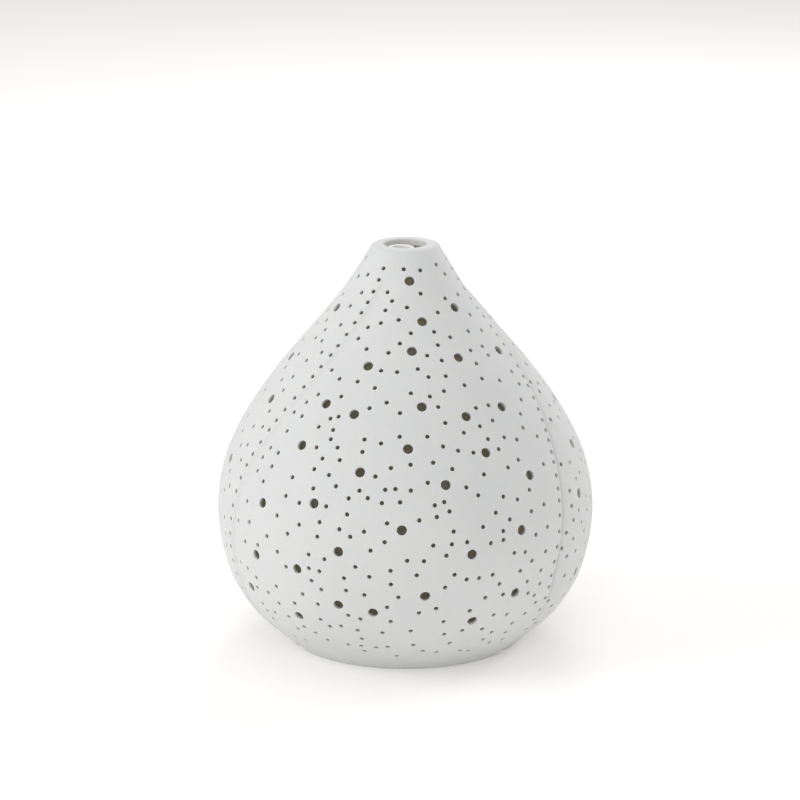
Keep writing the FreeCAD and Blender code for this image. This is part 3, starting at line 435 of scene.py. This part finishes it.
def foot_loop(inner):
    """Domain points of the lower boundary: round the foot, and up and over the notch."""
    outline = notch_outline(0.0 if inner else EDGE)
    notch = []
    for x, z in outline:
        if inner:
            r_table, z_table = inner_profile(TABLE_Z)
            level = float(np.interp(z, z_table, TABLE_Z))
            rho = float(np.interp(z, z_table, r_table))
        else:
            level, rho = z, float(mean_radius(z)[0])
            for _ in range(3):          # the relief depends on the azimuth, and that on the radius
                azimuth = 180 - math.degrees(math.asin(x / rho))
                rho = float(mean_radius(z)[0] + relief(azimuth, z))
        notch.append((math.pi - math.asin(x / rho), float(y_of(level))))
    start, end = float(seam_x(FOOT_START)), float(seam_x(FOOT_START)) + SEAM_WRAP
    first = [(x, 0.0) for x in np.linspace(start, notch[0][0], FOOT_POINTS[0])[:-1]]
    last = [(x, 0.0) for x in np.linspace(notch[-1][0], end, FOOT_POINTS[1])[1:]]
    return first + notch + last


def lip_loop():
    """Domain points of the upper boundary."""
    start = float(seam_x(LIP_START))
    return [(x, float(TABLE_Y[-1])) for x in np.linspace(start, start + SEAM_WRAP, LIP_POINTS)]


class Sheet:
    """One face of the wall: points of the flat domain, the fixed edges among them and, after
    meshing, its triangles. Points on the right seam are the left seam's own."""

    def __init__(self):
        self.points, self.edges, self.hole = [], [], []
        self.same = {}

    def add(self, points, hole=-1, closed=False, chained=False):
        first = len(self.points)
        self.points += [tuple(p) for p in points]
        self.hole += [hole] * len(points)
        ids = list(range(first, len(self.points)))
        if chained or closed:
            self.edges += list(zip(ids, ids[1:]))
        if closed:
            self.edges.append((ids[-1], ids[0]))
        return ids

    def triangles(self):
        found = delaunay_2d_cdt([Vector(p) for p in self.points], self.edges, [], 1, 1e-9)
        origin = [ids[0] for ids in found[3]]
        faces = []
        for face in found[2]:
            ids = [origin[i] for i in face]
            holes = {self.hole[i] for i in ids}
            if len(holes) == 1 and -1 not in holes:
                continue
            ids = [self.same.get(i, i) for i in ids]
            if len(set(ids)) == 3:
                faces.append(ids)
        return faces


def build_sheet(holes, spacing, inner):
    """Points and triangles of the outer or the inner face of the wall."""
    sheet = Sheet()
    foot = sheet.add(foot_loop(inner), chained=True)
    lip = sheet.add(lip_loop(), chained=True)

    rings = []
    for number, (azimuth, z, bore, rim, sides) in enumerate(holes):
        size = (bore + (0 if inner else rim)) / float(mean_radius(z)[0])
        x, y = near_seam(azimuth, z), float(y_of(z))
        turn = [2 * math.pi * k / sides for k in range(sides)]
        rings.append(sheet.add([(x + size * math.cos(t), y + size * math.sin(t)) for t in turn],
                               hole=number, closed=True))

    length = float(TABLE_S[-1])
    steps = int(length / (spacing if inner else SEAM_STEP)) + 1
    along = np.interp(np.linspace(0, length, steps), TABLE_S, TABLE_Z)[1:-1]
    left = [(float(seam_x(z)), float(y_of(z))) for z in along]
    ids = sheet.add(left)
    copies = sheet.add([(x + SEAM_WRAP, y) for x, y in left])
    left_chain = [foot[0]] + ids + [lip[0]]
    right_chain = [foot[-1]] + copies + [lip[-1]]
    for chain in (left_chain, right_chain):
        sheet.edges += list(zip(chain, chain[1:]))
    sheet.same.update(zip(right_chain, left_chain))

    fixed = Spots(CLEAR_CELL)
    pad = spacing * PAD_SHARE
    for azimuth, z, bore, rim, _ in holes:
        fixed.add(mean_place(azimuth, z), bore + (0 if inner else rim) + pad)
    for x, y in foot_loop(inner) + lip_loop() + left:
        fixed.add(domain_place(x, y), pad)
    if not inner:
        add_crease_lines(sheet, fixed, along[1:-1])
    fill_sheet(sheet, fixed, spacing)
    return sheet, foot, lip, rings


def domain_place(x, y):
    return mean_place(math.degrees(x), float(z_of(y)))


def add_crease_lines(sheet, fixed, heights):
    """Fine lines of points along each crease. The seam's own line is there already."""
    for crease in range(3):
        for shift in CREASE_LINES:
            if crease == 0 and shift == 0.0:
                continue
            line = []
            for z in heights:
                x = float(seam_x(z)) + math.radians(PETAL) * crease + shift / float(mean_radius(z)[0])
                if crease == 0 and shift < 0:
                    x += SEAM_WRAP
                y = float(y_of(z))
                p = domain_place(x, y)
                if not in_notch(p, z, CREASE_NOTCH_GAP) and fixed.is_clear(p):
                    line.append((x, y))
            sheet.add(line)
            for x, y in line:
                fixed.add(domain_place(x, y), CREASE_LINE_GAP)


def fill_sheet(sheet, fixed, spacing):
    """Staggered rows of points over the rest of the sheet."""
    length = float(TABLE_S[-1])
    row, s = 0, spacing * FIRST_ROW_SHARE
    while s < length - spacing * LAST_ROW_SHARE:
        z = float(np.interp(s, TABLE_S, TABLE_Z))
        y, start = float(y_of(z)), float(seam_x(z))
        count = max(LEAST_ROW, int(round(SEAM_WRAP * float(mean_radius(z)[0]) / spacing)))
        for k in range(count):
            x = start + SEAM_WRAP * (k + 0.5 * (row % 2) + 0.25) / count
            p = mean_place(math.degrees(x), z)
            if not in_notch(p, z, EDGE + FILL_NOTCH_GAP) and fixed.is_clear(p):
                sheet.add([(x, y)])
        row += 1
        s += spacing * math.sqrt(3) / 2


class Solid:
    """Gathers vertices with their normals, and faces, of one closed mesh."""

    def __init__(self):
        self.points, self.normals, self.depth, self.faces = [], [], [], []

    def add(self, points, normals, depth):
        first = len(self.points)
        self.points += [tuple(p) for p in points]
        self.normals += [tuple(n) for n in normals]
        self.depth += [depth] * len(points) if np.isscalar(depth) else list(depth)
        return list(range(first, len(self.points)))

    def strip(self, lower, upper, closed):
        """Quads between two equal rows of vertices."""
        pairs = list(zip(range(len(lower) - 1), range(1, len(lower))))
        if closed:
            pairs.append((len(lower) - 1, 0))
        for i, j in pairs:
            quad = [lower[i], lower[j], upper[j], upper[i]]
            ids = list(dict.fromkeys(quad))
            if len(ids) > 2:
                self.faces.append(ids)


def unit(v):
    """The vectors of the last axis, each one long."""
    return v / np.linalg.norm(v, axis=-1, keepdims=True)


def bore_rows(solid, hole, outer_ids, inner_ids):
    """Rounded rim and straight bore between a ring outside and its ring inside."""
    azimuth, z, bore, rim, sides = hole
    centre = outer_point(azimuth, z)
    normal = normals_of(outer_point, np.array([azimuth]), np.array([z]), True)[0]
    ring = np.array([solid.points[i] for i in outer_ids])
    flat = ring - centre
    height = flat @ normal
    spoke = unit(flat - height[:, None] * normal)
    rows = [outer_ids]
    for share in RIM_STEPS:
        turn = share * math.pi / 2
        reach = bore + rim * (1 - math.sin(turn))
        depth = rim * (1 - math.cos(turn))
        points = centre + spoke * reach + (height - depth)[:, None] * normal
        facing = unit(normal * math.cos(turn) - spoke * math.sin(turn))
        rows.append(solid.add(points, facing, RIM_DEPTH * share))
    rows.append(inner_ids)
    for lower, upper in zip(rows, rows[1:]):
        solid.strip(lower, upper, True)


def edge_rows(solid, outer_ids, inner_ids, opening):
    """Rounded edge of the foot and the notch. opening is the way out of the wall at each point."""
    a = np.array([solid.points[i] for i in outer_ids])
    b = np.array([solid.points[i] for i in inner_ids])
    span = b - a
    across = unit(span)
    width = np.linalg.norm(span, axis=1, keepdims=True)
    rows = [outer_ids]
    for turn in (30, 60, 90):
        t = math.radians(turn)
        points = a + across * EDGE * (1 - math.cos(t)) + opening * EDGE * math.sin(t)
        rows.append(solid.add(points, unit(opening * math.sin(t) - across * math.cos(t)), 0.0))
    for turn in (90, 45):
        t = math.radians(turn)
        points = a + across * (width - EDGE * (1 - math.cos(t))) + opening * EDGE * math.sin(t)
        rows.append(solid.add(points, unit(opening * math.sin(t) + across * math.cos(t)), 0.5))
    rows.append(inner_ids)
    for lower, upper in zip(rows, rows[1:]):
        solid.strip(upper, lower, True)


def lip_rows(solid, outer_ids, inner_ids, turns):
    """The rolled lip: over the crest and down the mouth."""
    rows = [outer_ids]
    ends = [(LIP_RADIUS, LIP_START)] + [(r, z) for r, z, _ in LIP] + [(MOUTH, THROAT)]
    for number, (radius, z, depth) in enumerate(LIP):
        before, after = ends[number], ends[number + 2]
        along = (after[0] - before[0], after[1] - before[1])
        length = math.hypot(*along)
        n_r, n_z = along[1] / length, -along[0] / length
        points = [(radius * math.sin(x), -radius * math.cos(x), z) for x in turns]
        facing = [(n_r * math.sin(x), -n_r * math.cos(x), n_z) for x in turns]
        rows.append(solid.add(points, facing, depth))
    rows.append(inner_ids)
    for lower, upper in zip(rows, rows[1:]):
        solid.strip(lower, upper, True)


def ways_out(count):
    """At each point of the lower boundary, the direction out of the wall: down at the foot, and
    towards the middle of the arch along the notch."""
    outline = notch_outline(EDGE)
    ways = []
    for number in range(count):
        k = number - (FOOT_POINTS[0] - 1)
        if not 0 <= k < len(outline):
            ways.append((0.0, 0.0, -1.0))
            continue
        before = outline[max(k - 1, 0)]
        after = outline[min(k + 1, len(outline) - 1)]
        along = (after[0] - before[0], after[1] - before[1])
        length = math.hypot(*along)
        lift = -1.0 if k in (0, len(outline) - 1) else along[0] / length
        ways.append((-along[1] / length, 0.0, lift))
    return np.array(ways)


def cover_mesh():
    """The cover as one closed mesh. Its depth attribute runs from 0 outside to 1 inside, and below 0
    along the bottom of the creases, where the porcelain paints a darker line of shade."""
    holes = all_holes()
    solid = Solid()
    sheets = []
    for inner, spacing, point in ((False, GRID, outer_point), (True, INNER_GRID, inner_point)):
        sheet, foot, lip, rings = build_sheet(holes, spacing, inner)
        x = np.array([p[0] for p in sheet.points])
        z = z_of(np.array([p[1] for p in sheet.points]))
        azimuth = np.degrees(x)
        # Outside, the depth goes below 0 beside the creases, and the porcelain turns that into painted
        # shade.
        depth = 1.0 if inner else -seam_line(azimuth, z, SHADE_WIDTH)
        ids = solid.add(point(azimuth, z), normals_of(point, azimuth, z, not inner), depth)
        first = ids[0]
        for a, b, c in sheet.triangles():
            turned = (a, c, b) if inner else (a, b, c)
            solid.faces.append([first + i for i in turned])
        sheets.append({
            "foot": [first + sheet.same.get(i, i) for i in foot[:-1]],
            "lip": [first + sheet.same.get(i, i) for i in lip[:-1]],
            "rings": [[first + i for i in ring] for ring in rings],
            "lip_x": [sheet.points[i][0] for i in lip[:-1]],
        })
    outside, inside = sheets
    for hole, ring_out, ring_in in zip(holes, outside["rings"], inside["rings"]):
        bore_rows(solid, hole, ring_out, ring_in)
    edge_rows(solid, outside["foot"], inside["foot"], ways_out(len(outside["foot"])))
    lip_rows(solid, outside["lip"], inside["lip"], outside["lip_x"])
    return solid


def make_cover():
    """The cover as an object, with the depth attribute and its own smooth normals."""
    solid = cover_mesh()
    used = sorted({i for face in solid.faces for i in face})
    index = {old: new for new, old in enumerate(used)}
    mesh = bpy.data.meshes.new("pierced_cover")
    points = [tuple(c * MM for c in solid.points[i]) for i in used]
    faces = [[index[i] for i in face] for face in solid.faces]
    mesh.from_pydata(points, [], faces)
    mesh.polygons.foreach_set("use_smooth", [True] * len(mesh.polygons))
    depth = mesh.attributes.new("depth", "FLOAT", "POINT")
    depth.data.foreach_set("value", [solid.depth[i] for i in used])
    mesh.update()
    mesh.normals_split_custom_set_from_vertices([solid.normals[i] for i in used])
    cover = bpy.data.objects.new("pierced_cover", mesh)
    bpy.context.scene.collection.objects.link(cover)
    return cover


# ---- materials -----------------------------------------------------------------------------
class Shader:
    """A node material with one principled surface."""

    def __init__(self, name):
        self.material = bpy.data.materials.new(name)
        self.material.use_nodes = True
        self.tree = self.material.node_tree
        self.surface = next(n for n in self.tree.nodes if n.type == "BSDF_PRINCIPLED")
        self.coords = self.node("ShaderNodeTexCoord")

    def node(self, kind, inputs=None, **settings):
        made = self.tree.nodes.new(kind)
        for key, value in settings.items():
            setattr(made, key, value)
        for key, value in (inputs or {}).items():
            if isinstance(value, bpy.types.NodeSocket):
                self.tree.links.new(value, made.inputs[key])
            else:
                made.inputs[key].default_value = value
        return made

    def noise(self, scale, detail=3.0, roughness=0.5, distortion=0.0):
        return self.node("ShaderNodeTexNoise", {"Vector": self.coords.outputs["Object"], "Scale": scale,
                                                "Detail": detail, "Roughness": roughness,
                                                "Distortion": distortion}).outputs["Fac"]

    def ramp(self, fac, stops):
        made = self.node("ShaderNodeValToRGB", {"Fac": fac})
        ramp = made.color_ramp
        while len(ramp.elements) < len(stops):
            ramp.elements.new(0.5)
        for element, (at, colour) in zip(ramp.elements, stops):
            element.position = at
            element.color = (*colour, 1.0)
        return made.outputs["Color"]

    def spread(self, fac, low, high):
        """Maps a 0 to 1 factor onto a range."""
        limits = {"Value": fac, "To Min": low, "To Max": high}
        return self.node("ShaderNodeMapRange", limits).outputs["Result"]

    def mix(self, fac, a, b):
        made = self.node("ShaderNodeMix", data_type="RGBA")
        for socket, value in ((made.inputs[0], fac), (made.inputs[6], a), (made.inputs[7], b)):
            if isinstance(value, bpy.types.NodeSocket):
                self.tree.links.new(value, socket)
            elif isinstance(value, tuple):
                socket.default_value = (*value, 1.0)
            else:
                socket.default_value = value
        return made.outputs[2]

    def bump(self, height, strength, distance, normal=None):
        inputs = {"Height": height, "Strength": strength, "Distance": distance}
        if normal is not None:
            inputs["Normal"] = normal
        return self.node("ShaderNodeBump", inputs).outputs["Normal"]

    def set(self, **values):
        for key, value in values.items():
            socket = self.surface.inputs[key.replace("_", " ")]
            if isinstance(value, bpy.types.NodeSocket):
                self.tree.links.new(value, socket)
            elif isinstance(value, tuple) and len(value) == 3 and socket.type == "RGBA":
                socket.default_value = (*value, 1.0)
            else:
                socket.default_value = value
        return self.material


# Strength of a painted glow: an emission on the cover's inner side and in its bores.
WALL_GLOW = 0.03     # the daylight that the thin wall lets through to its inner side


def porcelain():
    """Matt bisque porcelain: faint clouding, fine grains, a raw, warmer inside, painted shade beside the
    creases and a painted glow on the inside.
    """
    s = Shader("bisque_porcelain")
    depth = s.node("ShaderNodeAttribute", attribute_name="depth").outputs["Fac"]
    cloud = s.ramp(s.noise(28.0, 3.0), [(0.3, (0.637, 0.644, 0.642)), (0.7, (0.664, 0.668, 0.665))])
    grain = s.noise(2600.0, 2.0)
    specks = s.ramp(grain, [(0.28, (0.90, 0.90, 0.88)), (0.36, (1.0, 1.0, 1.0))])
    fired = s.node("ShaderNodeMix", {0: 1.0}, data_type="RGBA", blend_type="MULTIPLY")
    s.tree.links.new(cloud, fired.inputs[6])
    s.tree.links.new(specks, fired.inputs[7])
    # Painted shade: where the depth attribute goes below 0 beside a crease, the colour is darkened down
    # to 0.82, standing in for the shadow in the crease's valley.
    seam = s.node("ShaderNodeMapRange", {"Value": depth, "From Max": -1.0}).outputs["Result"]
    shade = s.ramp(seam, [(0.0, (1.0, 1.0, 1.0)), (1.0, (0.82, 0.82, 0.82))])
    fired_with_painted_shade = s.node("ShaderNodeMix", {0: 1.0, 6: fired.outputs[2], 7: shade}, data_type="RGBA",
                   blend_type="MULTIPLY")
    raw = s.ramp(s.noise(90.0, 4.0), [(0.3, (0.72, 0.66, 0.50)), (0.7, (0.80, 0.75, 0.60))])
    inside = s.node("ShaderNodeMapRange", {"Value": depth, "From Min": 0.75}).outputs["Result"]
    # Painted glow: an emission that rises with depth from 0.2, so the inside and the bores glow, standing
    # in for the daylight that the thin wall lets through.
    lit = {"Value": depth, "From Min": 0.2, "To Max": WALL_GLOW}
    glow = s.node("ShaderNodeMapRange", lit).outputs["Result"]
    colour = s.mix(inside, fired_with_painted_shade.outputs[2], raw)
    fine = s.bump(s.noise(2200.0, 3.0, 0.6), 0.25, 0.00006)
    soft = s.bump(s.noise(160.0, 2.0), 0.12, 0.0004, fine)
    return s.set(Base_Color=colour, Roughness=s.spread(s.noise(60.0), 0.62, 0.74), Normal=soft,
                 Specular_IOR_Level=0.28, Subsurface_Weight=0.4, Subsurface_Scale=0.9 * MM,
                 Subsurface_Radius=(1.0, 0.85, 0.6),
                 Emission_Color=(1.0, 0.95, 0.72, 1.0), Emission_Strength=glow)


def moulded(name, colour, roughness=0.45, texture=0.15, scale=3800.0, shade=0.05, **extra):
    """Injection-moulded plastic: spark-eroded texture, slight mottling."""
    s = Shader(name)
    dark = tuple(c * (1 - shade) for c in colour)
    tint = s.ramp(s.noise(70.0, 2.0), [(0.3, dark), (0.7, colour)])
    grain = s.bump(s.noise(scale, 2.0, 0.6), texture, 0.00005)
    return s.set(Base_Color=tint, Normal=grain,
                 Roughness=s.spread(s.noise(240.0), roughness - 0.05, roughness + 0.06), **extra)


def metal(name, colour, roughness=0.3, brushed=(1.0, 1.0, 12.0), scale=900.0):
    """Plated or drawn metal with fine lines and a little tarnish."""
    s = Shader(name)
    stretch = s.node("ShaderNodeMapping", {"Vector": s.coords.outputs["Object"], "Scale": brushed})
    lines = s.node("ShaderNodeTexNoise", {"Vector": stretch.outputs["Vector"], "Scale": scale,
                                          "Detail": 2.0}).outputs["Fac"]
    dull = tuple(c * 0.82 for c in colour)
    return s.set(Base_Color=s.ramp(s.noise(220.0), [(0.3, dull), (0.65, colour)]), Metallic=1.0,
                 Roughness=s.spread(lines, roughness - 0.08, roughness + 0.1),
                 Normal=s.bump(lines, 0.12, 0.00004))


def circuit(name, mask, trace):
    """Solder mask over copper tracks, with a scatter of bright pads."""
    s = Shader(name)
    tracks = s.node("ShaderNodeTexBrick", {"Vector": s.coords.outputs["Object"], "Scale": 130.0,
                                           "Mortar Size": 0.06, "Color1": (0, 0, 0, 1),
                                           "Color2": (0.25, 0.25, 0.25, 1), "Mortar": (1, 1, 1, 1)})
    base = s.mix(tracks.outputs["Color"], mask, trace)
    cells = s.node("ShaderNodeTexVoronoi", {"Vector": s.coords.outputs["Object"], "Scale": 420.0})
    pads = s.ramp(cells.outputs["Distance"], [(0.16, (1, 1, 1)), (0.2, (0, 0, 0))])
    return s.set(Base_Color=s.mix(pads, base, (0.62, 0.60, 0.55)), Roughness=0.28,
                 Normal=s.bump(tracks.outputs["Color"], 0.3, 0.00005), Coat_Weight=0.3)


def milky(name, colour, through, roughness=0.35):
    """Translucent polypropylene."""
    s = Shader(name)
    tint = s.ramp(s.noise(60.0, 2.0), [(0.3, tuple(c * 0.96 for c in colour)), (0.7, colour)])
    rough = s.spread(s.noise(300.0), roughness - 0.05, roughness + 0.07)
    return s.set(Base_Color=tint, Roughness=rough, Normal=s.bump(s.noise(2600.0, 2.0), 0.1, 0.00004),
                 Subsurface_Weight=through, Subsurface_Radius=(1.0, 0.95, 0.85),
                 Subsurface_Scale=4 * MM)


def finish_nodes():
    """Give every CAD piece that stays visible its finished material."""
    white = moulded("white_abs", (0.80, 0.80, 0.78))
    black = moulded("black_abs", (0.022, 0.022, 0.025), 0.5, 0.2)
    grey = moulded("grey_button", (0.34, 0.35, 0.35), 0.4, 0.1)
    silicone = moulded("silicone", (0.42, 0.42, 0.41), 0.7, 0.3, 1800.0)
    steel = metal("zinc_steel", (0.62, 0.62, 0.63))
    looks = {
        milky("milky_lid", (0.86, 0.87, 0.85), 0.5): ["inner_cover"],
        milky("milky_tank", (0.80, 0.82, 0.81), 0.6, 0.28): ["tank"],
        moulded("white_tube", (0.84, 0.84, 0.82), 0.35, 0.08): ["mist_chimney"],
        white: ["base_housing", "bottom_cover", "air_duct", "wire_headers"],
        black: ["fan_frame", "fan_rotor", "dc_jack", "control_chip", "power_transistor", "tact_switches"],
        grey: ["mist_button", "light_button"],
        silicone: ["rubber_feet", "housing_seal", "transducer_seal"],
        steel: ["transducer_clamp", "transducer_screws", "tank_screws", "base_screws", "fan_screws",
                "board_screws"],
        metal("silvered_disc", (0.80, 0.76, 0.66), 0.35): ["transducer"],
        metal("nickel_contact", (0.82, 0.80, 0.76), 0.2): ["dc_jack_pin"],
        metal("extruded_aluminium", (0.74, 0.75, 0.76), 0.38): ["heatsink"],
        metal("enamelled_winding", (0.55, 0.24, 0.09), 0.35, (1, 1, 40)): ["inductor"],
        moulded("can_sleeve", (0.03, 0.05, 0.16), 0.25, 0.05): ["capacitors"],
        moulded("wire_insulation", (0.45, 0.03, 0.025), 0.45, 0.1): ["transducer_wires", "fan_wires"],
        circuit("green_board", (0.01, 0.10, 0.04), (0.03, 0.19, 0.07)): ["main_board", "button_board"],
        circuit("white_board", (0.74, 0.75, 0.72), (0.62, 0.63, 0.60)): ["led_boards"],
        moulded("led_resin", (0.86, 0.70, 0.28), 0.2, 0.03): ["leds"],
    }
    for material, nodes in looks.items():
        for node in nodes:
            piece = bpy.data.objects[node]
            piece.data.materials.clear()
            piece.data.materials.append(material)


# ---- stage, light and camera ---------------------------------------------------------------
CAMERA_AZIMUTH, CAMERA_ELEVATION = 3.0, 16.0
CAMERA_DISTANCE = 1310.0 * MM
CAMERA_LENS, SENSOR = 158.0, 36.0
CAMERA_SHIFT = (-0.0066, 0.0741)
LOOK_AT = Vector((0, 0, 67.5 * MM))


def camera():
    a, e = math.radians(CAMERA_AZIMUTH), math.radians(CAMERA_ELEVATION)
    back = Vector((math.sin(a) * math.cos(e), -math.cos(a) * math.cos(e), math.sin(e)))
    data = bpy.data.cameras.new("camera")
    data.lens, data.sensor_width = CAMERA_LENS, SENSOR
    data.shift_x, data.shift_y = CAMERA_SHIFT
    data.clip_end = 50.0
    made = bpy.data.objects.new("camera", data)
    made.location = LOOK_AT + back * CAMERA_DISTANCE
    made.rotation_mode = "QUATERNION"
    made.rotation_quaternion = (-back).to_track_quat("-Z", "Y")
    bpy.context.scene.collection.objects.link(made)
    bpy.context.scene.camera = made


def floor():
    half = 8.0
    mesh = bpy.data.meshes.new("floor")
    corners = [(-half, -half, 0), (half, -half, 0), (half, half, 0), (-half, half, 0)]
    mesh.from_pydata(corners, [], [(0, 1, 2, 3)])
    made = bpy.data.objects.new("floor", mesh)
    bpy.context.scene.collection.objects.link(made)
    s = Shader("pale_floor")
    tone = s.ramp(s.noise(1.5), [(0.2, (0.90, 0.89, 0.88)), (0.8, (0.92, 0.91, 0.90))])
    s.set(Base_Color=tone, Roughness=0.9, Specular_IOR_Level=0.1, Emission_Color=(1, 1, 1),
          Emission_Strength=0.13)
    made.data.materials.append(s.material)


def area_light(name, place, size, power):
    data = bpy.data.lights.new(name, "AREA")
    data.shape, data.size, data.energy = "DISK", size, power
    made = bpy.data.objects.new(name, data)
    made.location = place
    made.rotation_mode = "QUATERNION"
    made.rotation_quaternion = (LOOK_AT - Vector(place)).to_track_quat("-Z", "Y")
    bpy.context.scene.collection.objects.link(made)


def lighting():
    world = bpy.data.worlds.new("studio")
    world.use_nodes = True
    sky = next(n for n in world.node_tree.nodes if n.type == "BACKGROUND")
    sky.inputs["Color"].default_value = (1.0, 1.0, 1.0, 1.0)
    sky.inputs["Strength"].default_value = 0.61
    bpy.context.scene.world = world
    bpy.context.scene.view_settings.view_transform = "Standard"
    area_light("left_softbox", (-1.3, -0.35, 0.75), 1.0, 7.4)
    area_light("top_softbox", (0, 0, 1.8), 1.2, 3.6)
    area_light("front_softbox", (0.1, -1.6, 1.0), 1.0, 5.9)
    area_light("right_lamp", (1.1, 0.6, 0.9), 0.35, 1.1)
    area_light("rear_lamp", (0.1, 1.2, 0.9), 0.5, 3.3)
    area_light("low_rear_lamp", (0.8, 0.9, 0.42), 0.35, 1.8)


camera()
cover = make_cover()
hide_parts("ceramic_cover")
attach(cover, "cover")
cover.data.materials.append(porcelain())
finish_nodes()
floor()
lighting()
